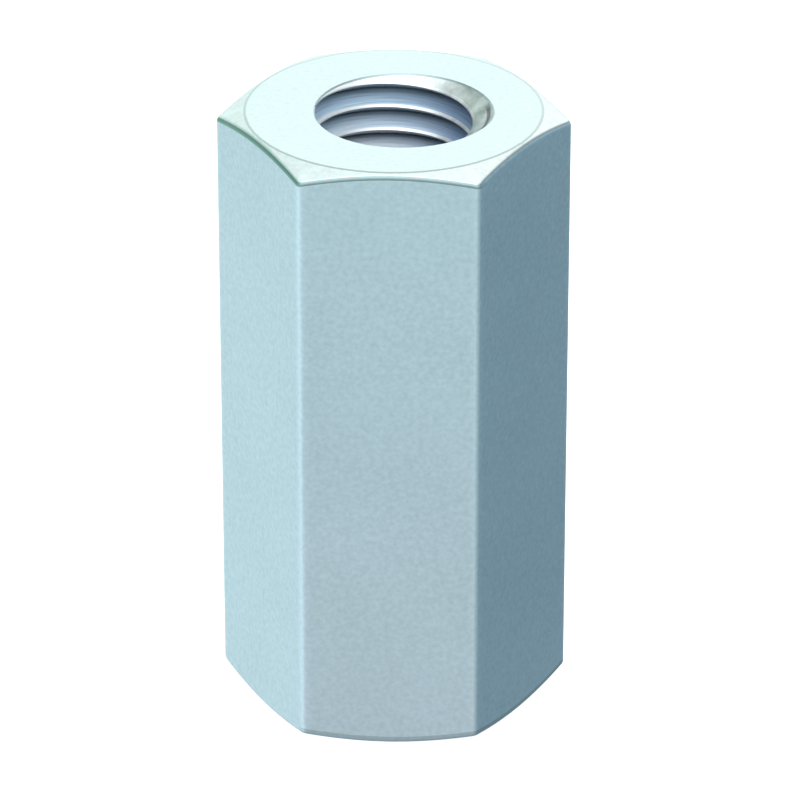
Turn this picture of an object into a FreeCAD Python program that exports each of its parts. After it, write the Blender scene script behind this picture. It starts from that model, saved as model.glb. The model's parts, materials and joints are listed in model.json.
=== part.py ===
"""Long hexagonal coupling nut with one straight tapped bore from end to end.

Units are millimetres and degrees. The nut stands on one end face: +Z runs up the bore and
the origin is the centre of the bottom face. Two flats face +Y and -Y, and two corners
point along +X and -X. The bore is the one that the tap leaves between the crests of the
thread, so its diameter is the thread's minor diameter.
"""
import FreeCAD, Part
import math
import os
import Sketcher

# The sizes that are set by hand. Every other size follows from these.
SIZES = {
    "across_flats": 24.0,
    "nut_length": 50.0,
    "corner_radius": 0.5,
    "end_circle_inset": 0.42,
    "chamfer_angle": 20.0,
    "bore_diameter": 12.2,
}
# A cutting profile reaches this far past the corners of the hexagon.
CUT_REACH = 1.0

CORNER_DISTANCE = "Sizes.across_flats / sqrt(3)"
END_CIRCLE_RADIUS = "(Sizes.across_flats / 2 - Sizes.end_circle_inset)"
CHAMFER_WIDTH = f"({CORNER_DISTANCE} + {CUT_REACH} - {END_CIRCLE_RADIUS})"

SIDES = 6
FULL_TURN = 360
# An edge counts as upright when its direction is nearer to Z than this cosine.
UPRIGHT_COSINE = 0.99
# How a sketch constraint names the ends and centre of an edge, the origin and the X axis.
START, END, CENTRE = 1, 2, 3
ORIGIN = (-1, 1)
HORIZONTAL_AXIS = -1
# A cut may miss its volume by arithmetic by this share.
VOLUME_TOLERANCE = 1e-6

doc = FreeCAD.newDocument("CouplingNut")


def fill_sheet(sizes):
    """One row for each size: its name in words, then its value under an alias."""
    sheet = doc.addObject("Spreadsheet::Sheet", "Sizes")
    for row, (alias, value) in enumerate(sizes.items(), start=1):
        sheet.set(f"A{row}", alias.replace("_", " "))
        sheet.set(f"B{row}", str(value))
        sheet.setAlias(f"B{row}", alias)
    doc.recompute()


def origin_item(body, role):
    """The body's own origin plane or axis with this role."""
    return next(item for item in body.Origin.OriginFeatures if item.Role == role)


def new_sketch(body, name, plane_role):
    sketch = body.newObject("Sketcher::SketchObject", name)
    sketch.AttachmentSupport = [(origin_item(body, plane_role), "")]
    sketch.MapMode = "FlatFace"
    return sketch


def new_circle(radius):
    """A circle round the sketch's origin."""
    return Part.Circle(FreeCAD.Vector(), FreeCAD.Vector(0, 0, 1), radius)


def add_dimension(sketch, name, expression, kind, *geometry_and_value):
    """A dimension with a name, tied to the sheet. Its last number is only a first guess."""
    index = sketch.addConstraint(Sketcher.Constraint(kind, *geometry_and_value))
    sketch.renameConstraint(index, name)
    sketch.setExpression(f"Constraints.{name}", expression)


def add_closed_outline(sketch, points):
    """Lines from each point to the next, joined end to start, and back to the first."""
    corners = [FreeCAD.Vector(across, up, 0) for across, up in points]
    following = corners[1:] + corners[:1]
    lines = [
        sketch.addGeometry(Part.LineSegment(start, end), False)
        for start, end in zip(corners, following)
    ]
    for line, next_line in zip(lines, lines[1:] + lines[:1]):
        sketch.addConstraint(Sketcher.Constraint("Coincident", line, END, next_line, START))
    return lines


def add_hexagon_bar(body):
    """The rolled or drawn bar: a hexagon with its corners on one circle, pushed up to length."""
    sketch = new_sketch(body, "HexagonSection", "XY_Plane")
    reach = SIZES["across_flats"] / math.sqrt(3)
    turns = [math.tau * corner / SIDES for corner in range(SIDES)]
    sides = add_closed_outline(
        sketch, [(reach * math.cos(turn), reach * math.sin(turn)) for turn in turns]
    )
    corner_circle = sketch.addGeometry(new_circle(reach), True)
    sketch.addConstraint(Sketcher.Constraint("Coincident", corner_circle, CENTRE, *ORIGIN))
    for side in sides:
        sketch.addConstraint(Sketcher.Constraint("PointOnObject", side, START, corner_circle))
    for side in sides[1:]:
        sketch.addConstraint(Sketcher.Constraint("Equal", sides[0], side))
    sketch.addConstraint(Sketcher.Constraint("PointOnObject", sides[0], START, HORIZONTAL_AXIS))
    upper_flat = sides[1]
    add_dimension(
        sketch, "half_across_flats", "Sizes.across_flats / 2",
        "Distance", *ORIGIN, upper_flat, SIZES["across_flats"] / 2,
    )

    bar = body.newObject("PartDesign::Pad", "Bar")
    bar.Profile = sketch
    bar.setExpression("Length", "Sizes.nut_length")
    return bar


def add_corner_rounding(body, bar):
    """The six long corners, which the drawing die leaves slightly round."""
    doc.recompute()
    upright = [
        f"Edge{number}"
        for number, edge in enumerate(bar.Shape.Edges, start=1)
        if abs(edge.tangentAt(edge.FirstParameter).z) > UPRIGHT_COSINE
    ]
    rounding = body.newObject("PartDesign::Fillet", "CornerRounding")
    rounding.Base = (bar, upright)
    rounding.setExpression("Radius", "Sizes.corner_radius")
    return rounding


def add_chamfer_profile(sketch, end, height, tip_guess):
    """A triangle that stands on the end face and slopes down the corners from its circle.

    height is the end face's height as an expression, or None for the face at the origin.
    """
    inner, outer = tip_guess, tip_guess + CUT_REACH
    level, slope_end = (SIZES["nut_length"], -1) if height else (0.0, 1)
    lines = add_closed_outline(
        sketch, [(inner, level), (outer, level), (outer, level + slope_end * CUT_REACH)]
    )
    flat, upright, _ = lines
    sketch.addConstraint(Sketcher.Constraint("Horizontal", flat))
    sketch.addConstraint(Sketcher.Constraint("Vertical", upright))
    add_dimension(
        sketch, f"{end}_circle_radius", END_CIRCLE_RADIUS,
        "DistanceX", *ORIGIN, flat, START, inner,
    )
    add_dimension(
        sketch, f"{end}_width", CHAMFER_WIDTH,
        "DistanceX", flat, START, flat, END, CUT_REACH,
    )
    drop = f"{CHAMFER_WIDTH} * tan(Sizes.chamfer_angle)"
    if height:
        ends = (upright, END, upright, START)
        add_dimension(sketch, f"{end}_height", height, "DistanceY", *ORIGIN, flat, START, level)
    else:
        ends = (upright, START, upright, END)
        sketch.addConstraint(Sketcher.Constraint("PointOnObject", flat, START, HORIZONTAL_AXIS))
    add_dimension(sketch, f"{end}_drop", drop, "DistanceY", *ends, CUT_REACH)


def add_end_chamfers(body):
    """Both ends are turned to a shallow cone, which leaves a round flat face inside a circle."""
    sketch = new_sketch(body, "ChamferProfiles", "XZ_Plane")
    circle_radius = SIZES["across_flats"] / 2 - SIZES["end_circle_inset"]
    add_chamfer_profile(sketch, "top", "Sizes.nut_length", circle_radius)
    add_chamfer_profile(sketch, "bottom", None, circle_radius)

    chamfers = body.newObject("PartDesign::Groove", "EndChamfers")
    chamfers.Profile = sketch
    chamfers.ReferenceAxis = (sketch, ["V_Axis"])
    chamfers.Angle = FULL_TURN
    return chamfers


def add_bore(body):
    """The bore, straight through from face to face, with no countersink at either mouth."""
    sketch = new_sketch(body, "BoreSection", "XY_Plane")
    circle = sketch.addGeometry(new_circle(SIZES["bore_diameter"] / 2), False)
    sketch.addConstraint(Sketcher.Constraint("Coincident", circle, CENTRE, *ORIGIN))
    add_dimension(
        sketch, "bore_diameter", "Sizes.bore_diameter",
        "Diameter", circle, SIZES["bore_diameter"],
    )

    bore = body.newObject("PartDesign::Pocket", "Bore")
    bore.Profile = sketch
    bore.Type = "ThroughAll"
    bore.Reversed = True
    return bore


def check_cut(before, after, expected):
    """A cut has to take away the volume that arithmetic gives for it."""
    removed = before.Shape.Volume - after.Shape.Volume
    if abs(removed - expected) > VOLUME_TOLERANCE * before.Shape.Volume:
        raise RuntimeError(f"{after.Name} removed {removed} and not {expected} cubic millimetres")


fill_sheet(SIZES)
nut = doc.addObject("PartDesign::Body", "coupling_nut")
nut.Label = "coupling_nut"
nut.Placement = FreeCAD.Placement()
bar = add_hexagon_bar(nut)
rounding = add_corner_rounding(nut, bar)
chamfers = add_end_chamfers(nut)
bore = add_bore(nut)
doc.recompute()

for item in doc.Objects:
    if {"Invalid", "Error"} & set(item.State):
        raise RuntimeError(f"{item.Name} failed: {item.State}")
if nut.Shape.isNull() or not nut.Shape.isValid() or len(nut.Shape.Solids) != 1:
    raise RuntimeError("the nut is not one sound solid")

corner_loss = (2 * math.sqrt(3) - math.pi) * SIZES["corner_radius"] ** 2
bore_area = math.pi / 4 * SIZES["bore_diameter"] ** 2
check_cut(bar, rounding, corner_loss * SIZES["nut_length"])
check_cut(chamfers, bore, bore_area * SIZES["nut_length"])
if chamfers.Shape.Volume >= rounding.Shape.Volume:
    raise RuntimeError("the end chamfers removed nothing")

os.makedirs("parts", exist_ok=True)
nut.Shape.exportStep(f"parts/{nut.Label}.step")
print(nut.Label, round(nut.Shape.Volume, 2), "cubic millimetres")
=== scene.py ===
"""The looks of a long hexagonal coupling nut in bright zinc plate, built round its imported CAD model."""
import json
import math

import bpy
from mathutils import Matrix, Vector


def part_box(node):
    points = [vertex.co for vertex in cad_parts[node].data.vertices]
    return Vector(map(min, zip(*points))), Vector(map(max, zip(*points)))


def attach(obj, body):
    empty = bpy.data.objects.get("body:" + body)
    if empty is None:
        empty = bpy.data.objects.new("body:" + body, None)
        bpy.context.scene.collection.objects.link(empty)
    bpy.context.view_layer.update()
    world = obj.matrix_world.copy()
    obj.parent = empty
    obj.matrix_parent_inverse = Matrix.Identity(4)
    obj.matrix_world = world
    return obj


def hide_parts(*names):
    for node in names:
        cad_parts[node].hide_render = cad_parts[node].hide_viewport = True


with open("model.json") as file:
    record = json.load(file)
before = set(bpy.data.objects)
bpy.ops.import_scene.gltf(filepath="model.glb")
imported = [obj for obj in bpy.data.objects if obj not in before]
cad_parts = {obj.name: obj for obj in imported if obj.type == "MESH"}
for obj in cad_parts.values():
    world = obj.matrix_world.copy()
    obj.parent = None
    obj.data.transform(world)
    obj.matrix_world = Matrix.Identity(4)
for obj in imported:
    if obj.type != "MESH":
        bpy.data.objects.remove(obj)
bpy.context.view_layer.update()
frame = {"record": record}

MM = 0.001

# The coupling nut.
# A length of drawn hexagonal steel bar, faced and chamfered at both ends on a lathe, drilled,
# and tapped right through. Bright zinc plate covers it, and the bolts rub the thread's crests.
nut_low, nut_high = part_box("coupling_nut")
upper_thread = next(
    mount for mount in frame["record"]["mounts"] if mount["name"] == "upper_thread"
)
SIZES = {
    "length": nut_high.z - nut_low.z,
    "half across flats": (nut_high.y - nut_low.y) / 2,
    "corner radius": 0.5 * MM,
    "end circle inset": 0.42 * MM,
    "end circle rounding": 0.6 * MM,
    "chamfer angle": math.radians(20),
    "edge rounding": 0.45 * MM,
    "rim break": 0.1 * MM,
    "minor radius": upper_thread["dims"]["r_mm"] * MM,
    "pitch": 2.0 * MM,
    "thread depth": 1.65 * MM,
    "half flank angle": math.radians(27.5),
    "root width": 0.06 * MM,
    "crest rounding": 0.45 * MM,
    "run-out azimuth": math.radians(10.5),
    "fully plated depth": 1.1 * MM,
    "thinly plated depth": 2.0 * MM,
}
SIDES = 6
# From a long corner to the middle of the flat beside it, as an angle about the axis.
HALF_SIDE = math.pi / SIDES

# The nut's faces lie in columns round it and rows up it. Each crowding is a power that draws
# rows or columns together where the surface turns most, which is at the edges and the crests.
CORNER_COLUMNS = 3
FLAT_COLUMNS = 8
COLUMNS_PER_SIDE = 2 * (CORNER_COLUMNS + FLAT_COLUMNS)
COLUMNS = SIDES * COLUMNS_PER_SIDE
FLAT_CROWDING = 2.0
WALL_CROWDING = 7.0
END_FACE_CROWDING = 1.5
CREST_CROWDING = 1.8
ROWS_PER_PITCH = 16
PITCHES = math.ceil(SIZES["length"] / SIZES["pitch"]) + 2
# A column or a crest counts as reached this much before or after its place.
CORNER_SNAP = 1.001
CREST_SNAP = 0.001
MERGE_DISTANCE = 0.001 * MM
SHARP_ANGLE = math.radians(38)

# Rows of half the outside, counted from the middle of the nut's length to the bore's rim.
WALL_END, EDGE_END, CONE_END, RING_END, FACE_END, RIM_TOP, RIM = 2, 8, 11, 14, 17, 18, 19


class Wire:
    """A node's output. Arithmetic on wires adds Math nodes, and node() adds any other node."""

    def __init__(self, tree, socket=None):
        self.tree = tree
        self.socket = socket

    def node(self, kind, settings=None, inputs=None, out=0):
        """A node of this kind, its settings made first, then its inputs, as one of its outputs."""
        made = self.tree.nodes.new(kind)
        for name, value in (settings or {}).items():
            setattr(made, name, value)
        for name, value in (inputs or {}).items():
            if isinstance(value, Wire):
                self.tree.links.new(value.socket, made.inputs[name])
            else:
                made.inputs[name].default_value = value
        return Wire(self.tree, made.outputs[out])

    def __add__(self, other):
        return maths("ADD", self, other)

    def __sub__(self, other):
        return maths("SUBTRACT", self, other)

    def __rsub__(self, other):
        return maths("SUBTRACT", other, self)

    def __mul__(self, other):
        return maths("MULTIPLY", self, other)

    def __truediv__(self, other):
        return maths("DIVIDE", self, other)

    def __rtruediv__(self, other):
        return maths("DIVIDE", other, self)

    def __pow__(self, other):
        return maths("POWER", self, other)

    def __abs__(self):
        return maths("ABSOLUTE", self)

    __radd__ = __add__
    __rmul__ = __mul__


def maths(operation, *values):
    """A Math node on these values, of which at least one is a wire."""
    wire = next(value for value in values if isinstance(value, Wire))
    return wire.node("ShaderNodeMath", {"operation": operation}, dict(enumerate(values)))


def part_of_way(wire, start, end):
    """0 up to start, 1 from end on, and evenly from 0 to 1 between the two."""
    return wire.node(
        "ShaderNodeMapRange", {"clamp": True}, {"Value": wire, "From Min": start, "From Max": end}
    )


def between(start, end, share):
    """The value that lies this share of the way from start to end."""
    return start + (end - start) * share


tree = bpy.data.node_groups.new("nut", "GeometryNodeTree")
entry = tree.nodes.new("NodeGroupInput")
sheet = Wire(tree)
identifiers = {}
size = {}
for name in SIZES:
    socket = tree.interface.new_socket(name, in_out="INPUT", socket_type="NodeSocketFloat")
    identifiers[name] = socket.identifier
    size[name] = Wire(tree, entry.outputs[name])
tree.interface.new_socket("Mesh", in_out="OUTPUT", socket_type="NodeSocketGeometry")


def grid_of(columns, rows):
    """A grid of faces, and the column and the row that each point, or a face's middle, is in."""
    grid = sheet.node(
        "GeometryNodeMeshGrid",
        inputs={
            "Size X": float(columns), "Size Y": float(rows),
            "Vertices X": columns + 1, "Vertices Y": rows + 1,
        },
    )
    place = {0: sheet.node("GeometryNodeInputPosition")}
    column = sheet.node("ShaderNodeSeparateXYZ", inputs=place, out="X")
    row = sheet.node("ShaderNodeSeparateXYZ", inputs=place, out="Y")
    return grid, column + columns / 2, row + rows / 2


def marked(grid, name, domain, value):
    """The grid with a value kept at its points or faces, under a name that the finish reads."""
    return sheet.node(
        "GeometryNodeStoreNamedAttribute", {"data_type": "FLOAT", "domain": domain},
        {"Geometry": grid, "Name": name, "Value": value},
    )


def shaped(grid, azimuth, radius, height):
    """The grid with each of its points moved to this azimuth, radius and height."""
    place = sheet.node(
        "ShaderNodeCombineXYZ",
        inputs={
            "X": radius * maths("COSINE", azimuth), "Y": radius * maths("SINE", azimuth),
            "Z": height,
        },
    )
    return sheet.node("GeometryNodeSetPosition", inputs={"Geometry": grid, "Position": place})


corner_centre = (size["half across flats"] - size["corner radius"]) / math.cos(HALF_SIDE)
corner_turn = maths(
    "ARCTAN2", size["corner radius"] * math.sin(HALF_SIDE),
    corner_centre + size["corner radius"] * math.cos(HALF_SIDE),
)


def corner_steps(column):
    """The nearest long corner's number, and a column's steps past it."""
    corner = maths("ROUND", column / COLUMNS_PER_SIDE)
    return corner, column - corner * COLUMNS_PER_SIDE


def azimuth_of(column):
    """A column's azimuth, and how far round that is from the nearest long corner."""
    corner, steps = corner_steps(column)
    on_flat = part_of_way(abs(steps), CORNER_COLUMNS, COLUMNS_PER_SIDE / 2) ** FLAT_CROWDING
    from_corner = (
        part_of_way(abs(steps), 0, CORNER_COLUMNS) * corner_turn
        + on_flat * (HALF_SIDE - corner_turn)
    )
    return corner * (2 * HALF_SIDE) + maths("SIGN", steps) * from_corner, from_corner


def bar_radius(from_corner):
    """The bar's radius: a flat or the round corner, whichever is nearer the axis."""
    flat = size["half across flats"] / maths("COSINE", HALF_SIDE - from_corner)
    aside = corner_centre * maths("SINE", from_corner)
    beyond = maths("MAXIMUM", size["corner radius"] ** 2.0 - aside * aside, 0.0) ** 0.5
    corner = corner_centre * maths("COSINE", from_corner) + beyond
    on_corner = maths("LESS_THAN", from_corner, corner_turn * CORNER_SNAP)
    return between(flat, corner, on_corner)


def thread_radius(azimuth, height):
    """The tapped bore's radius: straight flanks from a sharp root down to a blunt crest."""
    groove = size["length"] + (azimuth - size["run-out azimuth"]) * (size["pitch"] / math.tau)
    from_groove = maths("PINGPONG", height - groove, size["pitch"] / 2)
    root = size["minor radius"] + size["thread depth"]
    fall = (from_groove - size["root width"] / 2) / maths("TANGENT", size["half flank angle"])
    flank = maths("MINIMUM", root - fall, root)
    return maths("SMOOTH_MAX", flank, size["minor radius"], size["crest rounding"])


# The outside: up from the middle along the wall, round the edge, up the chamfer's cone, round
# the end circle and across the end face to the bore's rim, and the same downwards.
skin, column, row = grid_of(COLUMNS, 2 * RIM)
azimuth, from_corner = azimuth_of(column)
end = maths("SIGN", row - RIM)
step = abs(row - RIM)
half_length = size["length"] / 2

edge_top = math.pi / 2 - size["chamfer angle"]
edge_turn = edge_top * part_of_way(step, WALL_END, EDGE_END)
edge_reach = size["edge rounding"] * maths("TANGENT", edge_top / 2)
ring_turn = edge_top + size["chamfer angle"] * part_of_way(step, CONE_END, RING_END)
ring_reach = size["end circle rounding"] * maths("TANGENT", size["chamfer angle"] / 2)

bar = bar_radius(from_corner)
end_circle = size["half across flats"] - size["end circle inset"]
reaches = (edge_reach + ring_reach) * maths("COSINE", size["chamfer angle"])
cone_run = (bar - end_circle - reaches) * part_of_way(step, EDGE_END, CONE_END)
radius = (
    bar
    - size["edge rounding"] * (1 - maths("COSINE", edge_turn))
    - cone_run
    - size["end circle rounding"] * (maths("COSINE", edge_top) - maths("COSINE", ring_turn))
)
slope = maths("TANGENT", size["chamfer angle"])
wall_top = size["length"] - (bar - end_circle) * slope - edge_reach
to_middle = (1 - part_of_way(step, 0, WALL_END)) ** WALL_CROWDING
height = (
    between(wall_top, half_length, to_middle)
    + size["edge rounding"] * maths("SINE", edge_turn)
    + cone_run * slope
    + size["end circle rounding"] * (maths("SINE", ring_turn) - maths("SINE", edge_top))
)

# A file has broken the bore's rim: a narrow slope at half a right angle, and a line beside it.
broken = size["rim break"] * part_of_way(step, RIM_TOP, RIM)
rim = thread_radius(azimuth, half_length + end * (half_length - size["rim break"]))
face_end = rim + size["rim break"] * (1 + part_of_way(step, RIM_TOP, FACE_END) / 2)
radius = between(radius, face_end, part_of_way(step, RING_END, FACE_END) ** END_FACE_CROWDING)
radius = radius - broken
height = height - broken

# Painted dark lines, partly wear and partly painted shade and dark reflection in the roundings: a grey
# line round the end circle, the back of the bore's rim and the edges of the flats. That last line is
# painted wider and darker at the upper end's front left and lower end's front right.
BACK_RING_WEAR_AND_SHADE, FRONT_RING_WEAR_AND_SHADE = 0.3, 0.6
RIM_WEAR_AND_SHADE = 0.6
RIM_WEAR_AND_SHADE_FADE = 0.7
# Rows on the edge of a flat. The line and the start of the wider dark band are a row up at the upper end.
LIP_ROW = EDGE_END - 3
DARK_BAND_FROM, DARK_BAND_TO = WALL_END - 1, EDGE_END - 2
LIP_WEAR_AND_SHADE = 0.6
DARK_BAND_SIDE = math.radians(270)
DARK_BAND_SIDE_SHIFT = math.radians(30)
UPPER_DARK_BAND, LOWER_DARK_BAND = 0.85, 0.38
# Cosines of the angle from the middle of the wider dark band.
DARK_BAND_START, DARK_BAND_FULL = 0.45, 0.52
upper = part_of_way(end, -1, 1)
on_ring = maths("GREATER_THAN", step, CONE_END) * maths("LESS_THAN", step, RING_END)
on_rim = maths("GREATER_THAN", step, FACE_END)
on_edge = maths("GREATER_THAN", step, DARK_BAND_FROM + upper) * maths("LESS_THAN", step, DARK_BAND_TO)
on_lip = maths("LESS_THAN", abs(step - (LIP_ROW + upper)), 1.0)
rim_wear_and_shade = part_of_way(maths("SINE", azimuth), 0, RIM_WEAR_AND_SHADE_FADE) * RIM_WEAR_AND_SHADE
to_front = part_of_way(maths("SINE", azimuth), 0, -1)
ring_wear_and_shade = between(BACK_RING_WEAR_AND_SHADE, FRONT_RING_WEAR_AND_SHADE, to_front)
dark_band_side = maths("COSINE", azimuth - DARK_BAND_SIDE + end * DARK_BAND_SIDE_SHIFT)
dark_band_side = part_of_way(dark_band_side, DARK_BAND_START, DARK_BAND_FULL)
dark_band = dark_band_side * between(LOWER_DARK_BAND, UPPER_DARK_BAND, upper)
wear_and_shade = on_ring * ring_wear_and_shade + on_rim * rim_wear_and_shade + on_edge * dark_band
wear_and_shade = wear_and_shade + on_lip * (1 - dark_band_side) * LIP_WEAR_AND_SHADE
skin = marked(skin, "wear_and_shade", "FACE", wear_and_shade)

# A painted green reflection lies along the upper edge of the flat at the front left.
GREEN_REFLECTION_SIDE = math.radians(210)
# Cosines of the angle from the middle of that flat.
GREEN_REFLECTION_START, GREEN_REFLECTION_FULL = 0.86, 0.87
green_reflection = part_of_way(maths("COSINE", azimuth - GREEN_REFLECTION_SIDE), GREEN_REFLECTION_START, GREEN_REFLECTION_FULL)
skin = marked(skin, "green_reflection", "FACE", green_reflection * on_edge * upper)

# Spanners and hands polish the long corners, and the flats for a short way beside them. The chamfers,
# turned after the bar was drawn, take a whiter plate than the flats do, and the whiter colour also paints
# a highlight on them.
POLISHED_COLUMNS = CORNER_COLUMNS + 2
CONE_WHITENESS_AND_HIGHLIGHT = 0.45
_, steps = corner_steps(column)
polish = part_of_way(abs(steps), POLISHED_COLUMNS, CORNER_COLUMNS)
skin = marked(skin, "polish", "POINT", polish * part_of_way(step, CONE_END, EDGE_END))
on_cone = maths("GREATER_THAN", step, EDGE_END) * maths("LESS_THAN", step, CONE_END)
skin = marked(skin, "whiteness_and_highlight", "FACE", on_cone * CONE_WHITENESS_AND_HIGHLIGHT)
skin = marked(skin, "plated", "POINT", 1.0)
outside = shaped(skin, azimuth, radius, half_length + end * (height - half_length))

# The thread: rows that climb one pitch in each turn, held between the two end faces. Whole
# numbers of crests_up are crests, and the grooves lie half a pitch from them.
groove_grid, column, row = grid_of(COLUMNS, ROWS_PER_PITCH * (PITCHES + 1))
azimuth, _ = azimuth_of(column)
crest = maths("ROUND", row / ROWS_PER_PITCH)
steps = row - crest * ROWS_PER_PITCH
to_groove = (abs(steps) / (ROWS_PER_PITCH / 2)) ** CREST_CROWDING
crests_up = crest + to_groove * maths("SIGN", steps) / 2
turns = (azimuth - size["run-out azimuth"]) / math.tau + 0.5
climb = size["length"] + size["pitch"] * (crests_up + turns - PITCHES)
highest = size["length"] - size["rim break"]
height = maths("MINIMUM", maths("MAXIMUM", climb, size["rim break"]), highest)

# Zinc settles thickly on the first flank at each mouth and thinly further in. How far in a
# flank lies is taken at the crest on its inner side, so that a whole flank has one finish.
crest_below = maths("FLOOR", crests_up + CREST_SNAP)
crest_above = maths("CEIL", crests_up - CREST_SNAP)
below_top = size["pitch"] * (PITCHES - turns - crest_below)
above_base = size["length"] - size["pitch"] * (PITCHES - turns - crest_above)
inward = maths("MINIMUM", below_top, above_base)
plated = part_of_way(inward, size["thinly plated depth"], size["fully plated depth"])
faces_in = maths("LESS_THAN", steps * (height - half_length), 0.0)
# The thread takes the whiter colour in full, which paints the plated first flanks at the mouths white:
# partly whiter zinc, partly a painted highlight.
for name, domain, value in (
    ("plated", "POINT", plated), ("faces_in", "FACE", faces_in),
    ("tapped", "FACE", 1.0), ("whiteness_and_highlight", "FACE", 1.0),
):
    groove_grid = marked(groove_grid, name, domain, value)
thread = shaped(groove_grid, azimuth, thread_radius(azimuth, height), height)
thread = sheet.node("GeometryNodeFlipFaces", inputs={"Mesh": thread})

both = sheet.node("GeometryNodeJoinGeometry", inputs={"Geometry": outside})
tree.links.new(thread.socket, both.socket.node.inputs["Geometry"])
both = sheet.node(
    "GeometryNodeMergeByDistance", inputs={"Geometry": both, "Distance": MERGE_DISTANCE}
)
both = sheet.node("GeometryNodeSetShadeSmooth", {"domain": "FACE"}, {"Geometry": both})
is_sharp = maths("GREATER_THAN", sheet.node("GeometryNodeInputMeshEdgeAngle"), SHARP_ANGLE)
both = sheet.node(
    "GeometryNodeSetShadeSmooth", {"domain": "EDGE"},
    {"Geometry": both, "Selection": is_sharp, "Shade Smooth": False},
)
plate = bpy.data.materials.new("zinc_plate")
plate.use_nodes = True
both = sheet.node("GeometryNodeRealizeInstances", inputs={"Geometry": both})
both = sheet.node("GeometryNodeSetMaterial", inputs={"Geometry": both, "Material": plate})
tree.links.new(both.socket, tree.nodes.new("NodeGroupOutput").inputs["Mesh"])

blank = bpy.data.objects.new("blank", bpy.data.meshes.new("blank"))
bpy.context.scene.collection.objects.link(blank)
modifier = blank.modifiers.new("nut", "NODES")
modifier.node_group = tree
for name, value in SIZES.items():
    modifier[identifiers[name]] = value
nut_mesh = bpy.data.meshes.new_from_object(
    blank.evaluated_get(bpy.context.evaluated_depsgraph_get())
)
bpy.data.objects.remove(blank)
nut = bpy.data.objects.new("nut", nut_mesh)
bpy.context.scene.collection.objects.link(nut)

# The plate: blue-white zinc with a fine satin grain. A painted reflection makes the front flat bluer at
# its upper end and greyer at its lower end. The tones of the grain and the rest are shares of the plate's
# colour.
ZINC = (0.66, 0.80, 0.86, 1.0)
# Whiter zinc that is partly a painted highlight, on the chamfers and the plated flanks in the mouths.
WHITE_ZINC_AND_HIGHLIGHT = (0.85, 0.93, 0.95, 1.0)
UPPER_FRONT_REFLECTION = (0.67, 0.86, 0.915, 1.0)
LOWER_FRONT_REFLECTION = (0.66, 0.77, 0.835, 1.0)
FRONT_START, FRONT_FULL = 11.7 * MM, 11.95 * MM
# Dark edge lines, partly wear and partly painted shade and reflection.
WORN_AND_SHADED_EDGE = (0.20, 0.27, 0.26, 1.0)
# A painted green reflection.
GREEN_REFLECTION = (0.22, 0.46, 0.36, 1.0)
PLATE_ROUGHNESS = 0.40
GRAIN_SCALE = 2600.0
GRAIN_DETAIL = 2.0
GRAIN_TONE = 0.3
GRAIN_ROUGHNESS = 0.04
GRAIN_DEPTH = 0.006 * MM
CLOUD_SCALE = 110.0
CLOUD_DETAIL = 3.0
CLOUD_TONE = 0.10
CLOUD_ROUGHNESS = 0.04
FACING_SCALE = 2500.0
FACING_DETAIL = 3.0
FACING_TONE = 0.05
POLISH_TONE = 0.09

# The thread: steel-blue flanks with the tap's fine marks round them. Painted shade darkens them towards
# +X, in the roots and on the inner sides, and painted light makes them lighter and greyer further in. The
# crests are rubbed bright and also carry a painted highlight.
FLANK_STEEL = (0.64, 0.84, 1.0, 1.0)
# Painted shade on the flanks towards +X.
SIDE_SHADE_STEEL = (0.27, 0.39, 0.56, 1.0)
# Painted light on the flanks further in.
DEEP_LIT_STEEL = (0.88, 0.94, 1.0, 1.0)
# Painted shade in the roots and on the flanks' inner sides.
ROOT_SHADE_STEEL = (0.07, 0.085, 0.10, 1.0)
# Crests rubbed bright, with a painted highlight on them.
CREST_STEEL_AND_HIGHLIGHT = (0.97, 1.0, 1.0, 1.0)
FLANK_METAL = 0.2
CREST_METAL = 0.55
FLANK_ROUGHNESS = 0.35
CREST_ROUGHNESS = 0.40
CREST_HEIGHT = 0.17 * MM
CREST_FADE = 0.06 * MM
# Cosines of the angle from +X.
SIDE_SHADE_START, SIDE_SHADE_FULL = -0.6, 0.7
SIDE_SHADE_CROWDING = 2.0
DEEP_START, DEEP_FULL = 2.5 * MM, 6.5 * MM
DEEP_LIGHT_TONE = 0.35
ROOT_START = 0.3 * MM
ROOT_CROWDING = 3.5
INNER_SIDE_SHADE = 0.7
MARKS_OUTWARD, MARKS_UP, MARKS_ROUND = 9000.0, 300.0, 200.0
MARKS_DETAIL = 2.0
MARK_TONE = 0.9

# A cloudy grey patch in the mouths, on the side towards +X: partly a stain that the zinc bath left and
# partly painted shade. A short dark patch of painted shade lies just inside the upper rim there, where
# the thread's first groove comes out.
STAIN_AND_SHADE = (0.14, 0.20, 0.22, 1.0)
STAIN_AND_SHADE_SCALE = 750.0
STAIN_AND_SHADE_DETAIL = 4.0
# Cosines of the angle from +X.
STAIN_AND_SHADE_START, STAIN_AND_SHADE_FULL = 0.50, 0.57
STAIN_AND_SHADE_RAGGEDNESS = 0.4
STAIN_AND_SHADE_PATCHES = 1.1
STAIN_AND_SHADE_AT_START, STAIN_AND_SHADE_AT_SIDE = 0.22, 0.55
# A dark patch of painted shade where the thread's first groove comes out.
RUN_OUT_SHADE = (0.04, 0.04, 0.06, 1.0)
RUN_OUT_SHADE_STRENGTH = 0.75
RUN_OUT_SHADE_FROM_AXIS = 7.38 * MM
RUN_OUT_SHADE_MIDDLE = -1.0 * MM
# Where the painted shade starts to show and where it is full: beside its line, at its tips, at its foot.
RUN_OUT_SHADE_SIDE_START, RUN_OUT_SHADE_SIDE_FULL = 0.2 * MM, 0.1 * MM
RUN_OUT_SHADE_TIP_START, RUN_OUT_SHADE_TIP_FULL = 2.7 * MM, 1.8 * MM
RUN_OUT_SHADE_FOOT_START, RUN_OUT_SHADE_FOOT_FULL = 1.2 * MM, 1.0 * MM

surface = Wire(plate.node_tree)


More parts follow.
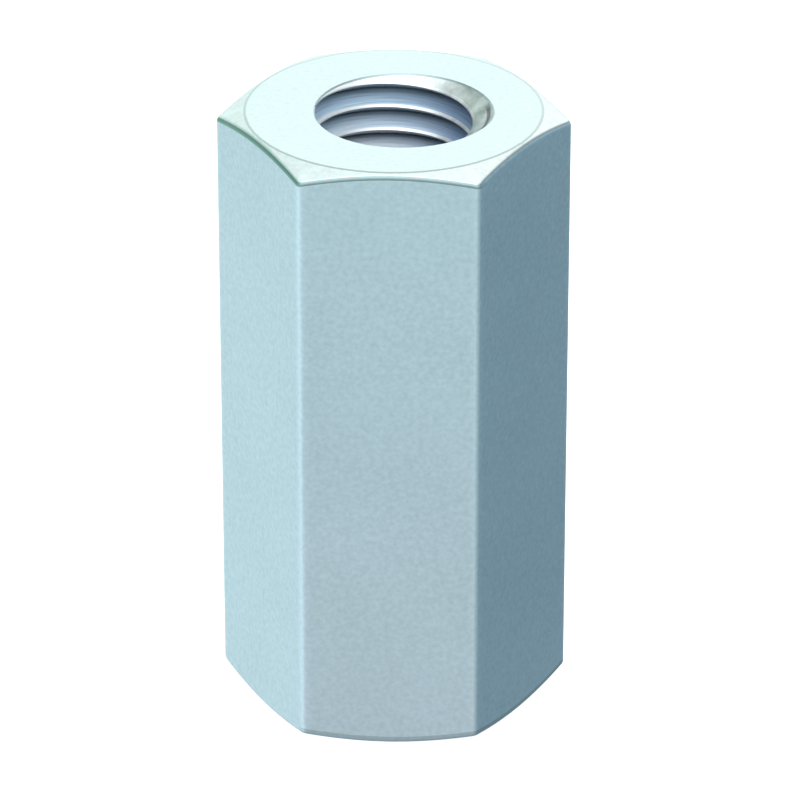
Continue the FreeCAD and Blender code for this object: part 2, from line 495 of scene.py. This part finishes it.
def noise(place, scale, detail):
    """Even noise from -0.5 to 0.5, with its grains 1 / scale metres across."""
    return place.node(
        "ShaderNodeTexNoise", inputs={"Vector": place, "Scale": scale, "Detail": detail}
    ) - 0.5


def vector_of(across, along, up):
    return across.node("ShaderNodeCombineXYZ", inputs={"X": across, "Y": along, "Z": up})


def mixed(start, end, share):
    """A colour on the way from start to end."""
    return share.node(
        "ShaderNodeMix", {"data_type": "RGBA"}, {"Factor": share, "A": start, "B": end}, "Result"
    )


def lit(colour, share):
    """The colour, lighter or darker by this share."""
    return share.node(
        "ShaderNodeVectorMath", {"operation": "SCALE"}, {0: colour, "Scale": 1 + share}
    )


def mark_of(name):
    """A value that the mesh keeps under this name."""
    return surface.node("ShaderNodeAttribute", {"attribute_name": name}, out="Fac")


place = surface.node("ShaderNodeTexCoord", out="Object")
across, along, up = (
    place.node("ShaderNodeSeparateXYZ", inputs={0: place}, out=axis) for axis in "XYZ"
)
from_axis = (across * across + along * along) ** 0.5
to_side = across / from_axis
middle = SIZES["length"] / 2
from_middle = abs(up - middle)
tapped, faces_in, plated = mark_of("tapped"), mark_of("faces_in"), mark_of("plated")

grain = noise(place, GRAIN_SCALE, GRAIN_DETAIL)
cloud = noise(place, CLOUD_SCALE, CLOUD_DETAIL)
on_end_face = maths("GREATER_THAN", from_middle, middle - MERGE_DISTANCE)
rings = noise(vector_of(from_axis, 0.0, 0.0), FACING_SCALE, FACING_DETAIL) * on_end_face
shade = grain * GRAIN_TONE + cloud * CLOUD_TONE + rings * FACING_TONE
shade = shade + mark_of("polish") * POLISH_TONE
on_front = part_of_way(along, -FRONT_START, -FRONT_FULL)
# A painted reflection: the front flat bluer at its upper end and greyer at its lower end.
front_reflection = mixed(LOWER_FRONT_REFLECTION, UPPER_FRONT_REFLECTION, up / SIZES["length"])
plate_tone = mixed(mixed(ZINC, front_reflection, on_front), WHITE_ZINC_AND_HIGHLIGHT, mark_of("whiteness_and_highlight"))
plate_tone = lit(plate_tone, shade)

minor = SIZES["minor radius"]
crest_end = minor + CREST_HEIGHT
on_crest = part_of_way(from_axis, crest_end + CREST_FADE, crest_end) * (1 - faces_in)
# Painted shade: dark in the roots and on the inner sides below the crests.
root_shade = part_of_way(from_axis, minor + ROOT_START, minor + SIZES["thread depth"])
root_shade = maths("MAXIMUM", root_shade ** ROOT_CROWDING, faces_in * INNER_SIDE_SHADE)
tap_marks = noise(
    vector_of(from_axis * MARKS_OUTWARD + up * MARKS_UP, across * MARKS_ROUND, along * MARKS_ROUND),
    1.0, MARKS_DETAIL,
)
# Painted shade on the flanks towards +X.
side_shade = part_of_way(to_side, SIDE_SHADE_START, SIDE_SHADE_FULL) ** SIDE_SHADE_CROWDING
# Painted light: the flanks lighter and greyer further into the bore.
deep = part_of_way(middle - from_middle, DEEP_START, DEEP_FULL)
flank_tone = mixed(mixed(FLANK_STEEL, DEEP_LIT_STEEL, deep), SIDE_SHADE_STEEL, side_shade)
flank_tone = mixed(flank_tone, ROOT_SHADE_STEEL, root_shade)
flank_tone = lit(flank_tone, tap_marks * MARK_TONE + deep * DEEP_LIGHT_TONE)
# The rubbed crests, with a painted highlight.
thread_tone = mixed(flank_tone, CREST_STEEL_AND_HIGHLIGHT, on_crest)
bare = tapped * maths("MAXIMUM", maths("MAXIMUM", 1 - plated, on_crest), faces_in)

# A mottled stain on the +X side of the mouths that is partly painted shade.
patches = noise(place, STAIN_AND_SHADE_SCALE, STAIN_AND_SHADE_DETAIL)
stain_and_shade_depth = between(STAIN_AND_SHADE_AT_START, STAIN_AND_SHADE_AT_SIDE, part_of_way(to_side, STAIN_AND_SHADE_FULL, 1.0))
stained_and_shaded = (
    part_of_way(to_side + patches * STAIN_AND_SHADE_RAGGEDNESS, STAIN_AND_SHADE_START, STAIN_AND_SHADE_FULL)
    * (stain_and_shade_depth + patches * STAIN_AND_SHADE_PATCHES)
    * tapped * maths("MAXIMUM", plated, on_crest)
)
# Painted shade where the thread's first groove comes out under the upper rim.
run_out_shaded = (
    part_of_way(abs(from_axis - RUN_OUT_SHADE_FROM_AXIS), RUN_OUT_SHADE_SIDE_START, RUN_OUT_SHADE_SIDE_FULL)
    * part_of_way(abs(along - RUN_OUT_SHADE_MIDDLE), RUN_OUT_SHADE_TIP_START, RUN_OUT_SHADE_TIP_FULL)
    * part_of_way(SIZES["length"] - up, RUN_OUT_SHADE_FOOT_START, RUN_OUT_SHADE_FOOT_FULL)
    * maths("GREATER_THAN", across, 0.0) * tapped
)
tone = mixed(plate_tone, thread_tone, bare)
tone = mixed(tone, STAIN_AND_SHADE, stained_and_shaded)
tone = mixed(tone, RUN_OUT_SHADE, run_out_shaded * RUN_OUT_SHADE_STRENGTH)
# Painted dark edge lines and a painted green reflection, partly wear.
tone = mixed(tone, mixed(WORN_AND_SHADED_EDGE, GREEN_REFLECTION, mark_of("green_reflection")), mark_of("wear_and_shade"))
metal = between(1.0, between(FLANK_METAL, CREST_METAL, on_crest), bare)
roughness = between(PLATE_ROUGHNESS, between(FLANK_ROUGHNESS, CREST_ROUGHNESS, on_crest), bare)
roughness = roughness + grain * GRAIN_ROUGHNESS + cloud * CLOUD_ROUGHNESS
bump = surface.node(
    "ShaderNodeBump", inputs={"Strength": 1.0, "Distance": GRAIN_DEPTH, "Height": grain}
)

shader = plate.node_tree.nodes["Principled BSDF"]
for name, wire in {
    "Base Color": tone, "Metallic": metal, "Roughness": roughness, "Normal": bump
}.items():
    plate.node_tree.links.new(wire.socket, shader.inputs[name])

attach(nut, "root")
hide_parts("coupling_nut")

# The floor.
# A white sheet of card that the nut stands on. Only the camera sees it, so the plate mirrors
# the soft boxes round it and none of the card.
FLOOR_SIZE = 4.0
CARD_WHITE = (0.9, 0.9, 0.9, 1.0)
CARD_ROUGHNESS = 0.9
CARD_GLOW = (1.0, 1.0, 1.0, 1.0)
CARD_GLOW_STRENGTH = 0.7
floor_mesh = bpy.data.meshes.new("floor")
reach = FLOOR_SIZE / 2
floor_mesh.from_pydata(
    [(-reach, -reach, 0), (reach, -reach, 0), (reach, reach, 0), (-reach, reach, 0)],
    [], [(0, 1, 2, 3)],
)
floor = bpy.data.objects.new("floor", floor_mesh)
bpy.context.scene.collection.objects.link(floor)
card = bpy.data.materials.new("white_card")
card.use_nodes = True
shader = card.node_tree.nodes["Principled BSDF"]
shader.inputs["Base Color"].default_value = CARD_WHITE
shader.inputs["Roughness"].default_value = CARD_ROUGHNESS
shader.inputs["Emission Color"].default_value = CARD_GLOW
shader.inputs["Emission Strength"].default_value = CARD_GLOW_STRENGTH
floor.data.materials.append(card)
floor.visible_diffuse = False
floor.visible_glossy = False
floor.visible_shadow = False

# The light.
# Large soft boxes a long way off, drawn on the sky round the nut: a bright one high in front,
# softer ones behind and at the left, and dim ones at the right. Azimuth 90 is at the right.
SOFT_BOXES = (
    # azimuth, elevation, colour
    (0, 80, (0.95, 0.97, 1.0)),
    (0, 45, (2.45, 2.55, 2.65)),
    (0, -30, (0.29, 0.33, 0.31)),
    (60, -27, (0.25, 0.30, 0.31)),
    (110, 5, (0.07, 0.24, 0.33)),
    (150, 35, (0.69, 0.52, 0.43)),
    (180, 27, (0.69, 0.77, 0.75)),
    (180, -25, (0.58, 0.61, 0.68)),
    (-150, 35, (0.26, 0.33, 0.23)),
    (-120, -30, (0.56, 0.68, 0.67)),
    (-60, -27, (0.72, 0.79, 0.85)),
    (0, -80, (0.27, 0.28, 0.35)),
)
SOFT_BOX_SHARPNESS = 5.0

world = bpy.data.worlds.new("studio")
bpy.context.scene.world = world
world.use_nodes = True
sky = Wire(world.node_tree)
direction = sky.node("ShaderNodeTexCoord", out="Generated")
glow = (0.0, 0.0, 0.0)
for box_azimuth, box_elevation, colour in SOFT_BOXES:
    round_turn, up_turn = math.radians(box_azimuth), math.radians(box_elevation)
    centre = (
        math.sin(round_turn) * math.cos(up_turn),
        -math.cos(round_turn) * math.cos(up_turn),
        math.sin(up_turn),
    )
    closeness = direction.node(
        "ShaderNodeVectorMath", {"operation": "DOT_PRODUCT"}, {0: direction, 1: centre}, "Value"
    )
    share = maths("EXPONENT", (closeness - 1.0) * SOFT_BOX_SHARPNESS)
    glow = share.node(
        "ShaderNodeVectorMath", {"operation": "MULTIPLY_ADD"}, {0: share, 1: colour, 2: glow}
    )
world.node_tree.links.new(glow.socket, world.node_tree.nodes["Background"].inputs["Color"])

# The camera.
# A long lens, above the nut and in front of it, as in the photograph. It is turned a little
# to its left and looks down at the nut's middle.
CAMERA_POSITION = (13.17 * MM, -410.83 * MM, 235.74 * MM)
CAMERA_PITCH = math.radians(27.181)
CAMERA_TURN = math.radians(1.769)
LENS_IN_MM = 261.18
NEAREST_SEEN = 10 * MM
camera = bpy.data.objects.new("camera", bpy.data.cameras.new("camera"))
bpy.context.scene.collection.objects.link(camera)
camera.data.lens = LENS_IN_MM
camera.data.clip_start = NEAREST_SEEN
camera.location = CAMERA_POSITION
camera.rotation_euler = (math.pi / 2 - CAMERA_PITCH, 0.0, CAMERA_TURN)
bpy.context.scene.camera = camera
bpy.context.scene.view_settings.view_transform = "Standard"
